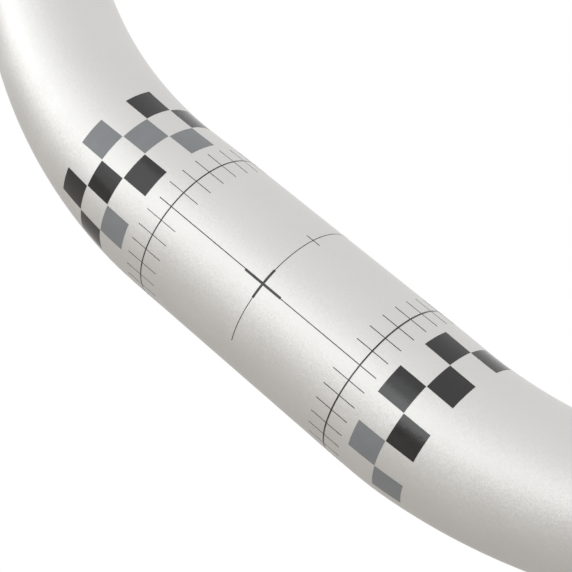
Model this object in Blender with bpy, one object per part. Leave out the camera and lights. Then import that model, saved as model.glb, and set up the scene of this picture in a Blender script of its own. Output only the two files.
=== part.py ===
"""Mountain bike riser handlebar: one butted aluminium tube, bent on both sides of the stem clamp.

Metres, +Z up. The origin is the middle of the stem clamp. +X runs along the clamp, -Y is the front of
the bicycle, and the grips sweep up and back from there. The printed checks are fields of colour on the
skin's own faces.
"""

from dataclasses import dataclass
from math import ceil, pi, radians, tan

import bmesh
import bpy
from mathutils import Matrix, Vector

# Tube: standard oversize clamp and grip diameters, with walls that thin towards the grips.
CLAMP_DIAMETER = 0.0318
GRIP_DIAMETER = 0.0222
CLAMP_WALL = 0.0025
GRIP_WALL = 0.0020
TAPER_START = 0.0315  # distances from the middle, along the centreline
TAPER_END = 0.1190
END_CHAMFER = 0.0004

# Centreline: a straight clamp, a bend that climbs, a short straight run, and a bend that levels out.
BAR_WIDTH = 0.780  # between the centres of the two end faces
CLAMP_HALF_LENGTH = 0.0303
CLIMB_BEND_RADIUS = 0.106
CLIMB_ANGLE = radians(28)
CLIMB_ROLL = radians(8)  # how far the climbing bend leans back from upright
CLIMB_LENGTH = 0.008
LEVEL_BEND_RADIUS = 0.100
UPSWEEP = radians(5)
BACKSWEEP = radians(8)

# Printed checks: rows from the top of the front downwards, k for black, g for grey, a dot for bare metal.
# The left rows read from the outermost column inwards, and the right rows from the innermost outwards.
LEFT_ROWS = (".k.", "k.g", ".g.", "g.k", ".k.", "k.g", ".k.")
RIGHT_ROWS = (".k", "k.", ".k", "k.", ".k", "g.", ".g")
CHECK_SIDE = 0.00607
CHECK_START_LEFT = 0.02945  # innermost edge of the checks, from the middle
CHECK_START_RIGHT = 0.02905
CHECK_TOP_ANGLE = radians(81.5)  # upper edge of the first row, from the front

# Fineness of the mesh.
FACETS_PER_CHECK = 3
BEND_STEP = radians(4)
LEAST_RING_SPACING = 0.0005
SHARP_ANGLE = radians(30)  # edges that turn further than this are shaded as corners

ALUMINIUM, BLACK_PRINT, GREY_PRINT = range(3)
INK = {"k": BLACK_PRINT, "g": GREY_PRINT, ".": ALUMINIUM}


@dataclass
class Run:
    """One stretch of the right half's centreline: straight, or an arc about axis where it has a radius."""

    start: Vector
    turn: Matrix  # carries the clamp's own axes to the start of the run
    length: float
    axis: Vector = None
    radius: float = None

    def at(self, distance):
        """The centre and the orientation at a distance into the run."""
        heading = self.turn @ Vector((1, 0, 0))
        if self.radius is None:
            return self.start + heading * distance, self.turn
        arm = self.axis.cross(heading) * self.radius
        swing = Matrix.Rotation(distance / self.radius, 3, self.axis)
        return self.start + arm - swing @ arm, swing @ self.turn


def climb_axis():
    """The axis that the first bend turns about."""
    lean = Matrix.Rotation(-CLIMB_ROLL, 3, "X")
    return lean @ Vector((0, -1, 0))


def centreline():
    """The runs of the right half, from the middle of the clamp to the end of the grip."""
    grip_heading = Vector((1, tan(BACKSWEEP), tan(UPSWEEP))).normalized()
    runs = [Run(Vector((0, 0, 0)), Matrix.Identity(3), CLAMP_HALF_LENGTH)]

    def add(length, axis=None, radius=None):
        start, turn = runs[-1].at(runs[-1].length)
        runs.append(Run(start, turn, length, axis, radius))

    add(CLIMB_BEND_RADIUS * CLIMB_ANGLE, climb_axis(), CLIMB_BEND_RADIUS)
    add(CLIMB_LENGTH)
    climbing = runs[-1].turn @ Vector((1, 0, 0))
    level_axis = climbing.cross(grip_heading).normalized()
    add(LEVEL_BEND_RADIUS * climbing.angle(grip_heading), level_axis, LEVEL_BEND_RADIUS)
    grip_start, _ = runs[-1].at(runs[-1].length)
    add((BAR_WIDTH / 2 - grip_start.x) / grip_heading.x)
    return runs


def section_at(runs, place):
    """The centre and orientation at a signed distance from the middle; the left half mirrors the right."""
    distance = abs(place)
    for run in runs:
        if distance <= run.length or run is runs[-1]:
            break
        distance -= run.length
    centre, turn = run.at(distance)
    if place < 0:
        mirror = Matrix.Diagonal((-1, 1, 1))
        centre, turn = mirror @ centre, mirror @ turn
    return centre, turn


def tapered(place, at_clamp, at_grip):
    """A size that changes evenly along the taper."""
    share = (abs(place) - TAPER_START) / (TAPER_END - TAPER_START)
    share = min(max(share, 0), 1)
    return at_clamp + (at_grip - at_clamp) * share


def outer_radius(place):
    return tapered(place, CLAMP_DIAMETER, GRIP_DIAMETER) / 2


def bore_radius(place):
    return outer_radius(place) - tapered(place, CLAMP_WALL, GRIP_WALL)


def row_angle():
    """What one check covers round the clamp."""
    return CHECK_SIDE / (CLAMP_DIAMETER / 2)


def facet_angles():
    """Angles round the tube, from the front towards the top, with a facet edge at every row of checks."""
    printed = len(LEFT_ROWS) * row_angle()
    bare = 2 * pi - printed
    printed_facets = len(LEFT_ROWS) * FACETS_PER_CHECK
    bare_facets = ceil(bare / printed * printed_facets)
    angles = [CHECK_TOP_ANGLE - printed * k / printed_facets for k in range(printed_facets)]
    angles += [CHECK_TOP_ANGLE - printed - bare * k / bare_facets for k in range(bare_facets)]
    return angles


def ring_places(runs, check_start, columns):
    """Distances from the middle at which one half has a ring of vertices."""
    length = sum(run.length for run in runs)
    fixed = [check_start + CHECK_SIDE * k for k in range(columns + 1)]
    fixed += [TAPER_START, TAPER_END, length - END_CHAMFER]
    free = []
    reached = 0
    for run in runs[:-1]:
        steps = 1 if run.radius is None else ceil(run.length / run.radius / BEND_STEP)
        free += [reached + run.length * k / steps for k in range(1, steps + 1)]
        reached += run.length
    for place in free:
        if all(abs(place - other) > LEAST_RING_SPACING for other in fixed):
            fixed.append(place)
    return sorted(fixed)


def ink_at(place, angle):
    """The material under the middle of a face, by its distance from the middle and its angle."""
    rows, start = (LEFT_ROWS, CHECK_START_LEFT) if place < 0 else (RIGHT_ROWS, CHECK_START_RIGHT)
    column = (abs(place) - start) / CHECK_SIDE
    row = (CHECK_TOP_ANGLE - angle) / row_angle()
    columns = len(rows[0])
    if not (0 <= row < len(rows) and 0 <= column < columns):
        return ALUMINIUM
    column = int(column)
    return INK[rows[int(row)][columns - 1 - column if place < 0 else column]]


def add_ring(mesh, runs, place, radius, directions):
    """One ring of vertices round the centreline."""
    centre, turn = section_at(runs, place)
    return [mesh.verts.new(centre + turn @ direction * radius) for direction in directions]


def bridge(mesh, first, second):
    """The band of faces between two rings."""
    pairs = zip(first, first[1:] + first[:1], second, second[1:] + second[:1])
    return [mesh.faces.new((a, b, d, c)) for a, b, c, d in pairs]


def handlebar_mesh():
    """Skin from left to right, round the right end, back along the bore and round the left end."""
    runs = centreline()
    end = sum(run.length for run in runs)
    left = ring_places(runs, CHECK_START_LEFT, len(LEFT_ROWS[0]))
    right = ring_places(runs, CHECK_START_RIGHT, len(RIGHT_ROWS[0]))
    places = [-place for place in reversed(left)] + right
    angles = facet_angles()
    directions = [Matrix.Rotation(-angle, 3, "X") @ Vector((0, -1, 0)) for angle in angles]
    mesh = bmesh.new()

    def ring(place, radius):
        return add_ring(mesh, runs, place, radius, directions)

    skin = [ring(place, outer_radius(place)) for place in places]
    right_lip = ring(end, outer_radius(end) - END_CHAMFER)
    bore = [ring(place, bore_radius(place)) for place in [end, *reversed(places[1:-1]), -end]]
    left_lip = ring(-end, outer_radius(end) - END_CHAMFER)
    next_angles = angles[1:] + angles[:1]
    middles = [angle - ((angle - after) % (2 * pi)) / 2 for angle, after in zip(angles, next_angles)]
    for k in range(len(skin) - 1):
        place = (places[k] + places[k + 1]) / 2
        for face, angle in zip(bridge(mesh, skin[k], skin[k + 1]), middles):
            face.material_index = ink_at(place, angle)
    rings = [skin[-1], right_lip, *bore, left_lip, skin[0]]
    for first, second in zip(rings, rings[1:]):
        bridge(mesh, first, second)
    bmesh.ops.recalc_face_normals(mesh, faces=mesh.faces)
    return mesh


def material(name, colour, roughness, metallic):
    made = bpy.data.materials.new(name)
    made.use_nodes = True
    shader = made.node_tree.nodes["Principled BSDF"]
    shader.inputs["Base Color"].default_value = (*colour, 1)
    shader.inputs["Roughness"].default_value = roughness
    shader.inputs["Metallic"].default_value = metallic
    made.diffuse_color = (*colour, 1)
    return made


def make_handlebar():
    data = bpy.data.meshes.new("handlebar")
    mesh = handlebar_mesh()
    mesh.to_mesh(data)
    mesh.free()
    data.materials.append(material("blasted_aluminium", (0.78, 0.78, 0.77), 0.4, 1.0))
    data.materials.append(material("black_print", (0.04, 0.04, 0.04), 0.4, 0.0))
    data.materials.append(material("grey_print", (0.25, 0.25, 0.26), 0.45, 0.0))
    data.shade_smooth()
    data.set_sharp_from_angle(angle=SHARP_ANGLE)
    handlebar = bpy.data.objects.new("handlebar", data)
    bpy.context.scene.collection.objects.link(handlebar)
    return handlebar


def clear_scene():
    for thing in list(bpy.data.objects):
        bpy.data.objects.remove(thing, do_unlink=True)


clear_scene()
make_handlebar()
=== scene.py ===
"""Finished look of a mountain bike riser handlebar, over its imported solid.

Metres, +Z up. The origin is the middle of the stem clamp, +X runs along the clamp and -Y is the front.
The tube is modelled again here, finer and rounder than the solid, and the print lies on it as thin films.
"""

from dataclasses import dataclass
from math import atan2, ceil, cos, pi, radians, sin, tan

import bmesh
import bpy
from mathutils import Matrix, Vector


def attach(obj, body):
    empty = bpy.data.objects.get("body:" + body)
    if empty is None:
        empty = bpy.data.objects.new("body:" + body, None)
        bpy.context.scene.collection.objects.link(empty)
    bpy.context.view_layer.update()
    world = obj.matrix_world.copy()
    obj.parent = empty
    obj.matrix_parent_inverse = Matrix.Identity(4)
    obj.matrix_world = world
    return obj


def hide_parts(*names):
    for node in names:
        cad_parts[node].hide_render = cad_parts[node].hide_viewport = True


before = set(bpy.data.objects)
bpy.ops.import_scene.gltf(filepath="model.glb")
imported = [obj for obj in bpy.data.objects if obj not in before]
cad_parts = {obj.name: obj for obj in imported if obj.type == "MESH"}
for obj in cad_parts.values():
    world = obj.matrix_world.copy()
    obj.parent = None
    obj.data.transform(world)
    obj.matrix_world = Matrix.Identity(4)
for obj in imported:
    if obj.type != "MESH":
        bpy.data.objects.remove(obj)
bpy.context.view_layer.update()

# Tube: the same sizes as the solid.
CLAMP_DIAMETER = 0.0318
CLAMP_RADIUS = CLAMP_DIAMETER / 2
GRIP_DIAMETER = 0.0222
CLAMP_WALL = 0.0025
GRIP_WALL = 0.0020
TAPER_START = 0.0315  # distances from the middle, along the centreline
TAPER_END = 0.1190
TAPER_EASE = 0.005  # how far each side of its ends the taper is rounded off
OUTER_LIP = 0.0004
INNER_LIP = 0.0002

# Centreline: a straight clamp, a bend that climbs, a short straight run, and a bend that levels out.
BAR_WIDTH = 0.780  # between the centres of the two end faces
CLAMP_HALF_LENGTH = 0.0303
CLIMB_BEND_RADIUS = 0.106
CLIMB_ANGLE = radians(28)
CLIMB_ROLL = radians(8)  # how far the climbing bend leans back from upright
CLIMB_LENGTH = 0.008
LEVEL_BEND_RADIUS = 0.100
UPSWEEP = radians(5)
BACKSWEEP = radians(8)

# Print: films whose top is flush with the solid's skin, on metal that lies a little lower.
FILM_HEIGHT = 0.00002
FILM_ROOT = 0.00002  # how far a film reaches into the metal

# Rows of checks from the top of the front downwards: k for black, g for grey, a dot for bare metal.
# The left rows read from the outermost column inwards, and the right rows from the innermost outwards.
LEFT_ROWS = (".k.", "k.g", ".g.", "g.k", ".k.", "k.g", ".k.")
RIGHT_ROWS = (".k", "k.", ".k", "k.", ".k", "g.", ".g")
CHECK_LEAN = 0.15  # share of the bend that the columns of checks lean with

# Marks for setting the bar up in its stem. Angles run round the clamp, from the front to the top.
MAIN_LINE_WIDTH = 0.00018
RING_STEP = radians(11.65)
RING_STEPS = 8  # graduations each side of the main line
CROSS_HALF_LENGTH = 0.00445
CROSS_HALF_ROUND = radians(11.3)
CROSS_WIDTH = 0.00048
CROSS_ANGLE = radians(-0.3)
TILT_ARC_WIDTH = 0.00015
TILT_ARC_BOTTOM = radians(-46.4)
TILT_ARC_TOP = radians(100)
TILT_TICK_ANGLE = radians(46.2)
TILT_TICK_HALF = 0.0016

# Fineness of the meshes.
SKIN_SEGMENTS = 144
BORE_SEGMENTS = 72
BEND_STEP = radians(1)
STRAIGHT_STEP = 0.005
LIP_STEPS = 5
FILM_STEP = 0.0006
SOLVER_ROUNDS = 8
SHARP_ANGLE = radians(35)

# Finish: the metal is blasted, and the blasting shows a little through the ink. Each finish wanders
# between a darker and a lighter tone, and between two roughnesses, in soft clouds.
GRAIN_SIZE = 0.00015  # about the width of one facet
METAL_TILT = 0.08  # the most that a facet's normal, 1 long, is pushed along each axis
INK_TILT = 0.025
CLOUDS_PER_METRE_METAL = 90.0
CLOUDS_PER_METRE_INK = 400.0
CLOUD_DETAIL = 3.0
CLOUD_LOW = 0.3  # most of the noise lies between these two
CLOUD_HIGH = 0.7
METAL_SHARE = 0.85
METAL_ROUGHNESS = (0.51, 0.57)
METAL_TONES = ((0.628, 0.620, 0.606), (0.648, 0.640, 0.626))
BLACK_TONES = ((0.0020, 0.0020, 0.0019), (0.0036, 0.0036, 0.0034))
BLACK_ROUGHNESS = (0.14, 0.20)
BLACK_SPECULAR = 0.65
GREY_TONES = ((0.157, 0.165, 0.172), (0.172, 0.180, 0.187))
GREY_ROUGHNESS = (0.42, 0.48)
GREY_SPECULAR = 0.5

# Camera, from the printed marks' places in the photograph.
CAMERA_AIM = (-0.00340, 0.0, 0.00196)
CAMERA_DISTANCE = 0.3288
CAMERA_AZIMUTH = radians(24.17)
CAMERA_ELEVATION = radians(0.81)
CAMERA_ROLL = radians(39.3)
CAMERA_LENS = 112.1  # millimetres, as is the sensor's width
CAMERA_SENSOR = 36.0
CAMERA_CLIP_START = 0.01

# Surroundings: a white room, a pale floor well below the bar, four soft boxes in front, and one behind.
FLOOR_DROP = 0.9  # from the clamp's axis down to the floor
FLOOR_FADE_START = 1.6  # distances from the middle between which the floor fades into the white room
FLOOR_FADE_END = 3.4
FLOOR_SEGMENTS = 64
FLOOR_COLOUR = (0.535, 0.513, 0.482)
FLOOR_ROUGHNESS = 0.9
WORLD_WHITE = 1.0
LIGHT_DISTANCE = 1.2
LAMP_COLOUR = (0.955, 0.982, 1.0)  # a little cooler than the room


@dataclass
class Run:
    """One stretch of the right half's centreline: straight, or an arc about axis where it has a radius."""

    start: Vector
    turn: Matrix  # carries the clamp's own axes to the start of the run
    length: float
    axis: Vector = None
    radius: float = None

    def at(self, distance):
        """The centre and the orientation at a distance into the run."""
        heading = self.turn @ Vector((1, 0, 0))
        if self.radius is None:
            return self.start + heading * distance, self.turn
        arm = self.axis.cross(heading) * self.radius
        swing = Matrix.Rotation(distance / self.radius, 3, self.axis)
        return self.start + arm - swing @ arm, swing @ self.turn


@dataclass
class Checks:
    """One block of printed checks. Places run outwards from the middle, and angles down from the top."""

    rows: tuple
    side: int  # 1 for the right half, -1 for the left
    start: float
    pitch: float
    top_angle: float
    row_angle: float
    gap: float  # bare metal left round each check


@dataclass
class Ring:
    """One graduated ring, with the stretch of the main line that ends at it."""

    place: float
    width: float
    tick_width: float
    tick_half: float
    turn: float  # how far the graduations sit from true, round the clamp
    line_end: float
    line_angle: float  # how far the stretch of the main line sits from the front, round the clamp


LEFT_CHECKS = Checks(
    rows=LEFT_ROWS,
    side=-1,
    start=0.02942,
    pitch=0.00620,
    top_angle=radians(82.4),
    row_angle=radians(22.12),
    gap=0.00007,
)
RIGHT_CHECKS = Checks(
    rows=RIGHT_ROWS,
    side=1,
    start=0.02918,
    pitch=0.005975,
    top_angle=radians(80.8),
    row_angle=radians(21.68),
    gap=0.00003,
)
LEFT_RING = Ring(
    place=-0.02391,
    width=0.00026,
    tick_width=0.00013,
    tick_half=0.00374,
    turn=radians(0.6),
    line_end=-0.02697,
    line_angle=radians(0.1),
)
RIGHT_RING = Ring(
    place=0.02376,
    width=0.00030,
    tick_width=0.00015,
    tick_half=0.00368,
    turn=radians(-0.5),
    line_end=0.02755,
    line_angle=radians(-0.5),
)


def climb_lean():
    """Carries what is upright over to the leaning plane of the first bend."""
    return Matrix.Rotation(-CLIMB_ROLL, 3, "X")


def centreline():
    """The runs of the right half, from the middle of the clamp to the end of the grip."""
    grip_heading = Vector((1, tan(BACKSWEEP), tan(UPSWEEP))).normalized()
    climb_axis = climb_lean() @ Vector((0, -1, 0))
    runs = [Run(Vector((0, 0, 0)), Matrix.Identity(3), CLAMP_HALF_LENGTH)]

    def add(length, axis=None, radius=None):
        start, turn = runs[-1].at(runs[-1].length)
        runs.append(Run(start, turn, length, axis, radius))

    add(CLIMB_BEND_RADIUS * CLIMB_ANGLE, climb_axis, CLIMB_BEND_RADIUS)
    add(CLIMB_LENGTH)
    climbing = runs[-1].turn @ Vector((1, 0, 0))
    level_axis = climbing.cross(grip_heading).normalized()
    add(LEVEL_BEND_RADIUS * climbing.angle(grip_heading), level_axis, LEVEL_BEND_RADIUS)
    grip_start, _ = runs[-1].at(runs[-1].length)
    add((BAR_WIDTH / 2 - grip_start.x) / grip_heading.x)
    return runs


RUNS = centreline()
BAR_END = sum(run.length for run in RUNS)


def section_at(place):
    """The centre and orientation at a signed distance from the middle; the left half mirrors the right."""
    distance = abs(place)
    for run in RUNS:
        if distance <= run.length or run is RUNS[-1]:
            break
        distance -= run.length
    centre, turn = run.at(distance)
    if place < 0:
        mirror = Matrix.Diagonal((-1, 1, 1))
        centre, turn = mirror @ centre, mirror @ turn
    return centre, turn


def eased_ramp(distance):
    """Nothing below zero and the distance above it, with the corner rounded off."""
    if abs(distance) >= TAPER_EASE:
        return max(distance, 0)
    return (distance + TAPER_EASE) ** 2 / (4 * TAPER_EASE)


def tapered(place, at_clamp, at_grip):
    """A size that changes along the taper."""
    climbed = eased_ramp(abs(place) - TAPER_START) - eased_ramp(abs(place) - TAPER_END)
    return at_clamp + (at_grip - at_clamp) * climbed / (TAPER_END - TAPER_START)


def solid_radius(place):
    return tapered(place, CLAMP_DIAMETER, GRIP_DIAMETER) / 2


def skin_radius(place):
    return solid_radius(place) - FILM_HEIGHT


def bore_radius(place):
    return solid_radius(place) - tapered(place, CLAMP_WALL, GRIP_WALL)


def ring_places():
    """Where the tube has a ring of vertices: close together in the bends, and further apart elsewhere."""
    places = [0]
    for run in RUNS:
        step = STRAIGHT_STEP if run.radius is None else run.radius * BEND_STEP
        steps = ceil(run.length / step)
        reached = places[-1]
        places += [reached + run.length * k / steps for k in range(1, steps + 1)]
    places[-1] -= OUTER_LIP
    return [-place for place in reversed(places[1:])] + places


def lip(side):
    """Distances from the middle and radii round the end of the wall, from the skin to the bore."""
    end, outer, inner = BAR_END, skin_radius(BAR_END), bore_radius(BAR_END)
    turns = [pi / 2 * k / LIP_STEPS for k in range(1, LIP_STEPS + 1)]
    rounded = [(end - OUTER_LIP * (1 - sin(t)), outer - OUTER_LIP * (1 - cos(t))) for t in turns]
    rounded += [(end - INNER_LIP * (1 - cos(t)), inner + INNER_LIP * (1 - sin(t))) for t in [0, *turns]]
    return [(side * place, radius) for place, radius in rounded]


def add_ring(mesh, place, radius, segments):
    """One ring of vertices round the centreline, from the front towards the top."""
    centre, turn = section_at(place)
    angles = [2 * pi * k / segments for k in range(segments)]
    return [mesh.verts.new(centre + turn @ Vector((0, -cos(a), sin(a))) * radius) for a in angles]


def bridge(mesh, first, second):
    """The band of faces between two rings, of which one may be finer than the other."""
    fine, coarse = (first, second) if len(first) >= len(second) else (second, first)
    share = len(fine) // len(coarse)
    for k in range(len(coarse)):
        start = k * share
        arc = [fine[(start + j) % len(fine)] for j in range(share + 1)]
        mesh.faces.new([*arc, coarse[(k + 1) % len(coarse)], coarse[k]])


def finish_mesh(mesh, name, made):
    """Turns a bmesh into a shown object of one material, which rides with the bar."""
    bmesh.ops.recalc_face_normals(mesh, faces=mesh.faces)
    data = bpy.data.meshes.new(name)
    mesh.to_mesh(data)
    mesh.free()
    data.materials.append(made)
    data.shade_smooth()
    data.set_sharp_from_angle(angle=SHARP_ANGLE)
    piece = bpy.data.objects.new(name, data)
    bpy.context.scene.collection.objects.link(piece)
    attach(piece, "root")
    return piece


def make_tube():
    """Skin from left to right, round the right lip, back along the bore and round the left lip."""
    mesh = bmesh.new()
    places = ring_places()
    rings = [add_ring(mesh, place, skin_radius(place), SKIN_SEGMENTS) for place in places]
    right_lip = [add_ring(mesh, place, radius, SKIN_SEGMENTS) for place, radius in lip(1)]
    bore = [add_ring(mesh, place, bore_radius(place), BORE_SEGMENTS) for place in reversed(places[1:-1])]
    left_lip = [add_ring(mesh, place, radius, SKIN_SEGMENTS) for place, radius in reversed(lip(-1))]
    rings += right_lip + bore + left_lip
    for first, second in zip(rings, rings[1:] + rings[:1]):
        bridge(mesh, first, second)
    tube = finish_mesh(mesh, "tube", blasted_aluminium())
    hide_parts("handlebar")


def place_under(point):
    """The place along the centreline under a point that is near the clamp or the first bend."""
    beyond = abs(point.x) - CLAMP_HALF_LENGTH
    if beyond <= 0:
        return point.x
    rise = point.dot(climb_lean() @ Vector((0, 0, 1)))
    bent = atan2(beyond, CLIMB_BEND_RADIUS - rise)
    return (CLAMP_HALF_LENGTH + CLIMB_BEND_RADIUS * bent) * (1 if point.x > 0 else -1)


def on_skin(x, angle, lift):
    """The point over the skin in the plane x, at an angle round the clamp's own axis, 0 at the front."""
    outwards = Vector((0, -cos(angle), sin(angle)))
    beyond = max(abs(x) - CLAMP_HALF_LENGTH, 0)
    lean = CHECK_LEAN * tan(beyond / CLIMB_BEND_RADIUS) * outwards.z * CLAMP_RADIUS
    x -= lean if x > 0 else -lean
    reach = CLAMP_RADIUS
    for _ in range(SOLVER_ROUNDS):
        point = Vector((x, 0, 0)) + outwards * reach
        place = place_under(point)
        centre, _ = section_at(place)
        reach -= (point - centre).length - solid_radius(place) - lift
    return Vector((x, 0, 0)) + outwards * reach


def add_film(mesh, x_low, x_high, angle_low, angle_high):
    """A closed film of print between two planes and two angles."""
    length = x_high - x_low
    turn = angle_high - angle_low
    across = max(1, ceil(length / FILM_STEP))
    round_steps = max(1, ceil(turn * CLAMP_RADIUS / FILM_STEP))
    angles = [angle_low + turn * j / round_steps for j in range(round_steps + 1)]
    top, bottom = [], []
    for layer, lift in ((top, 0), (bottom, -FILM_HEIGHT - FILM_ROOT)):
        for i in range(across + 1):
            x = x_low + length * i / across
            layer.append([mesh.verts.new(on_skin(x, angle, lift)) for angle in angles])
    for layer in (top, bottom):
        for i in range(across):
            for j in range(round_steps):
                mesh.faces.new((layer[i][j], layer[i + 1][j], layer[i + 1][j + 1], layer[i][j + 1]))
    for rim_top, rim_bottom in zip(film_rim(top), film_rim(bottom)):
        mesh.faces.new((*rim_top, *reversed(rim_bottom)))


def film_rim(layer):
    """The edges round a layer, in order."""
    loop = [row[0] for row in layer] + layer[-1][1:]
    loop += [row[-1] for row in reversed(layer[:-1])] + list(reversed(layer[0][1:-1]))
    return list(zip(loop, loop[1:] + loop[:1]))


def add_along(mesh, x_low, x_high, angle, width):
    """A line along the clamp."""
    half = width / CLAMP_RADIUS / 2
    add_film(mesh, x_low, x_high, angle - half, angle + half)


def add_round(mesh, x, angle_low, angle_high, width):
    """A line round the clamp."""
    add_film(mesh, x - width / 2, x + width / 2, angle_low, angle_high)


def add_checks(mesh, block, ink):
    """Every check of one ink in a block."""
    columns = len(block.rows[0])
    round_gap = block.gap / CLAMP_RADIUS
    for row, inks in enumerate(block.rows):
        top = block.top_angle - row * block.row_angle
        for column, found in enumerate(inks):
            if found != ink:
                continue
            outwards = column if block.side > 0 else columns - 1 - column
            near = block.start + outwards * block.pitch + block.gap
            far = near + block.pitch - 2 * block.gap
            low, high = sorted((block.side * near, block.side * far))
            add_film(mesh, low, high, top - block.row_angle + round_gap, top - round_gap)


def make_checks(ink, name, made):
    """Both blocks' checks of one ink, as one piece."""
    mesh = bmesh.new()
    for block in (LEFT_CHECKS, RIGHT_CHECKS):
        add_checks(mesh, block, ink)
    piece = finish_mesh(mesh, name, made)


def add_graduations(mesh, ring):
    """One ring's marks on both sides of the main line, which itself stands for the middle one."""
    for k in range(-RING_STEPS, RING_STEPS + 1):
        if k:
            low, high = ring.place - ring.tick_half, ring.place + ring.tick_half
            add_along(mesh, low, high, ring.turn + k * RING_STEP, ring.tick_width)


def make_marks(made):
    """The middle cross, the main line, the tilt arc and the two graduated rings."""
    mesh = bmesh.new()
    for ring in (LEFT_RING, RIGHT_RING):
        inner = CROSS_HALF_LENGTH if ring.place > 0 else -CROSS_HALF_LENGTH
        add_along(mesh, *sorted((inner, ring.line_end)), ring.line_angle, MAIN_LINE_WIDTH)
        reach = RING_STEPS * RING_STEP
        add_round(mesh, ring.place, ring.turn - reach, ring.turn + reach, ring.width)
        add_graduations(mesh, ring)
    add_along(mesh, -CROSS_HALF_LENGTH, CROSS_HALF_LENGTH, CROSS_ANGLE, CROSS_WIDTH)
    add_round(mesh, 0, -CROSS_HALF_ROUND, CROSS_HALF_ROUND, CROSS_WIDTH)
    add_round(mesh, 0, TILT_ARC_BOTTOM, -CROSS_HALF_ROUND, TILT_ARC_WIDTH)
    add_round(mesh, 0, CROSS_HALF_ROUND, TILT_ARC_TOP, TILT_ARC_WIDTH)
    add_along(mesh, -TILT_TICK_HALF, TILT_TICK_HALF, TILT_TICK_ANGLE, TILT_ARC_WIDTH)
    piece = finish_mesh(mesh, "print_marks", made)


def new_material(name):
    """A material, its Principled shader, and functions that add a node and that link two sockets."""
    made = bpy.data.materials.new(name)
    made.use_nodes = True
    nodes = made.node_tree.nodes
    shader = nodes["Principled BSDF"]

    def node(kind, **inputs):
        added = nodes.new(kind)
        for key, value in inputs.items():
            added.inputs[key.replace("_", " ")].default_value = value
        return added

    return made, shader, node, made.node_tree.links.new


def add_grain(node, link, shader, where, tilt):
    """Fine facets all over that lean every way: each cell's colour is the way that it leans."""
    cells = node("ShaderNodeTexVoronoi", Scale=1 / GRAIN_SIZE)
    lean = node("ShaderNodeVectorMath")
    lean.operation = "MULTIPLY_ADD"
    lean.inputs[1].default_value = (2 * tilt, 2 * tilt, 2 * tilt)
    lean.inputs[2].default_value = (-tilt, -tilt, -tilt)
    skin = node("ShaderNodeNewGeometry")
    leaning = node("ShaderNodeVectorMath")
    unit = node("ShaderNodeVectorMath")
    unit.operation = "NORMALIZE"
    link(where, cells.inputs["Vector"])
    link(cells.outputs["Color"], lean.inputs[0])
    link(skin.outputs["Normal"], leaning.inputs[0])
    link(lean.outputs["Vector"], leaning.inputs[1])
    link(leaning.outputs["Vector"], unit.inputs[0])
    link(unit.outputs["Vector"], shader.inputs["Normal"])


def add_clouds(node, link, where, per_metre):
    """Soft clouds in the bar's own metres."""
    clouds = node("ShaderNodeTexNoise", Scale=per_metre, Detail=CLOUD_DETAIL)
    link(where, clouds.inputs["Vector"])
    return clouds.outputs["Fac"]


def vary(node, link, clouds, socket, low, high):
    """Runs a socket between two values by the clouds."""
    span = node("ShaderNodeMapRange", From_Min=CLOUD_LOW, From_Max=CLOUD_HIGH, To_Min=low, To_Max=high)
    link(clouds, span.inputs["Value"])
    link(span.outputs["Result"], socket)


def tint(node, link, clouds, shader, dark, light):
    """Runs the base colour between two close tones by the clouds."""
    ramp = node("ShaderNodeValToRGB")
    ramp.color_ramp.elements[0].position = CLOUD_LOW
    ramp.color_ramp.elements[0].color = (*dark, 1)
    ramp.color_ramp.elements[1].position = CLOUD_HIGH
    ramp.color_ramp.elements[1].color = (*light, 1)
    link(clouds, ramp.inputs["Fac"])
    link(ramp.outputs["Color"], shader.inputs["Base Color"])


def blasted_aluminium():
    made, shader, node, link = new_material("blasted_aluminium")
    shader.inputs["Metallic"].default_value = METAL_SHARE
    where = node("ShaderNodeTexCoord").outputs["Object"]
    add_grain(node, link, shader, where, METAL_TILT)
    clouds = add_clouds(node, link, where, CLOUDS_PER_METRE_METAL)
    vary(node, link, clouds, shader.inputs["Roughness"], *METAL_ROUGHNESS)
    tint(node, link, clouds, shader, *METAL_TONES)
    return made


def print_ink(name, tones, roughness, specular):
    made, shader, node, link = new_material(name)
    shader.inputs["Specular IOR Level"].default_value = specular
    where = node("ShaderNodeTexCoord").outputs["Object"]
    add_grain(node, link, shader, where, INK_TILT)
    clouds = add_clouds(node, link, where, CLOUDS_PER_METRE_INK)
    vary(node, link, clouds, shader.inputs["Roughness"], *roughness)
    tint(node, link, clouds, shader, *tones)
    return made


def floor_material():
    """A pale matt finish that fades out with the distance, and is clear from behind."""
    made, shader, node, link = new_material("floor")
    shader.inputs["Roughness"].default_value = FLOOR_ROUGHNESS
    shader.inputs["Base Color"].default_value = (*FLOOR_COLOUR, 1)
    where = node("ShaderNodeTexCoord")
    length = node("ShaderNodeVectorMath")
    length.operation = "LENGTH"
    fade = node("ShaderNodeMapRange", From_Min=FLOOR_FADE_START, From_Max=FLOOR_FADE_END)
    fade.interpolation_type = "SMOOTHSTEP"
    side = node("ShaderNodeNewGeometry")
    hidden = node("ShaderNodeMath")
    hidden.operation = "MAXIMUM"
    clear = node("ShaderNodeBsdfTransparent")
    mixed = node("ShaderNodeMixShader")
    output = made.node_tree.nodes["Material Output"]
    link(where.outputs["Object"], length.inputs[0])
    link(length.outputs["Value"], fade.inputs["Value"])
    link(fade.outputs["Result"], hidden.inputs[0])
    link(side.outputs["Backfacing"], hidden.inputs[1])
    link(hidden.outputs["Value"], mixed.inputs["Fac"])
    link(shader.outputs["BSDF"], mixed.inputs[1])
    link(clear.outputs["BSDF"], mixed.inputs[2])
    link(mixed.outputs["Shader"], output.inputs["Surface"])
    return made


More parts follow.
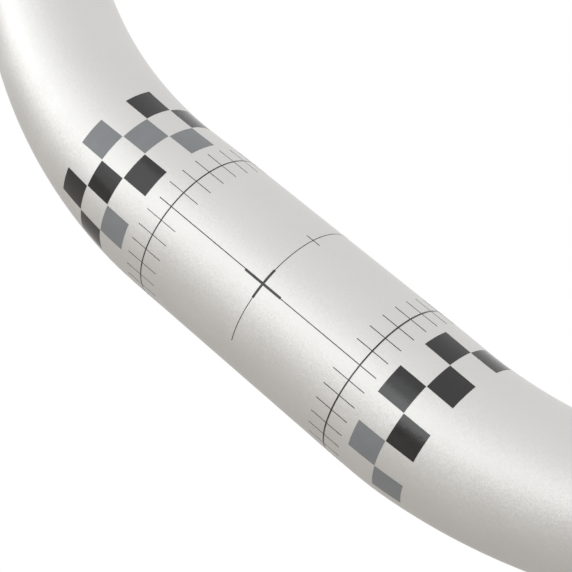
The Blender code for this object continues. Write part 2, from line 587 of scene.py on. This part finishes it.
def make_floor():
    """A round floor that reaches as far as it can be seen."""
    mesh = bmesh.new()
    bmesh.ops.create_circle(mesh, cap_ends=True, segments=FLOOR_SEGMENTS, radius=FLOOR_FADE_END)
    data = bpy.data.meshes.new("floor")
    mesh.to_mesh(data)
    mesh.free()
    data.materials.append(floor_material())
    floor = bpy.data.objects.new("floor", data)
    floor.location.z = -FLOOR_DROP
    bpy.context.scene.collection.objects.link(floor)


def towards(azimuth, elevation):
    """The direction of something seen from the bar, by azimuth from the front and height above level."""
    return Vector((sin(azimuth) * cos(elevation), -cos(azimuth) * cos(elevation), sin(elevation)))


def soft_box(name, azimuth, elevation, width, height, brightness):
    """A soft box that faces the bar, in degrees and metres. It looks white at a brightness of 1."""
    light = bpy.data.lights.new(name, "AREA")
    light.shape = "RECTANGLE"
    light.size = width
    light.size_y = height
    light.energy = brightness * pi * width * height
    light.color = LAMP_COLOUR
    box = bpy.data.objects.new(name, light)
    away = towards(radians(azimuth), radians(elevation))
    box.location = away * LIGHT_DISTANCE
    box.rotation_euler = away.to_track_quat("Z", "Y").to_euler()
    box.visible_camera = False
    bpy.context.scene.collection.objects.link(box)


def light_room():
    """The white room all round the bar."""
    world = bpy.data.worlds.new("white_room")
    world.use_nodes = True
    background = world.node_tree.nodes["Background"]
    background.inputs["Color"].default_value = (1, 1, 1, 1)
    background.inputs["Strength"].default_value = WORLD_WHITE
    bpy.context.scene.world = world


def make_soft_boxes():
    soft_box("wide_box", azimuth=-31, elevation=-8, width=2.5, height=1.1, brightness=0.55)
    soft_box("front_box", azimuth=-9, elevation=-12, width=0.56, height=0.56, brightness=1.35)
    soft_box("left_box", azimuth=-67, elevation=-16, width=0.42, height=0.36, brightness=4.0)
    soft_box("low_box", azimuth=-30, elevation=-38, width=0.42, height=0.36, brightness=1.0)
    soft_box("back_box", azimuth=150, elevation=42, width=0.70, height=0.35, brightness=1.3)


def make_camera():
    """A camera rolled over, so that the clamp runs down to the right as in the photograph."""
    camera = bpy.data.cameras.new("camera")
    camera.lens = CAMERA_LENS
    camera.sensor_width = CAMERA_SENSOR
    camera.clip_start = CAMERA_CLIP_START
    eye = bpy.data.objects.new("camera", camera)
    back = towards(CAMERA_AZIMUTH, CAMERA_ELEVATION)
    level = back.to_track_quat("Z", "Y").to_matrix()
    turned = level @ Matrix.Rotation(CAMERA_ROLL, 3, "Z")
    eye.matrix_world = Matrix.Translation(Vector(CAMERA_AIM) + back * CAMERA_DISTANCE) @ turned.to_4x4()
    bpy.context.scene.collection.objects.link(eye)
    bpy.context.scene.camera = eye


black = print_ink("black_print", BLACK_TONES, BLACK_ROUGHNESS, BLACK_SPECULAR)
grey = print_ink("grey_print", GREY_TONES, GREY_ROUGHNESS, GREY_SPECULAR)
make_tube()
make_checks("k", "print_checks_black", black)
make_checks("g", "print_checks_grey", grey)
make_marks(black)
make_floor()
light_room()
make_soft_boxes()
make_camera()
bpy.context.scene.view_settings.view_transform = "Standard"
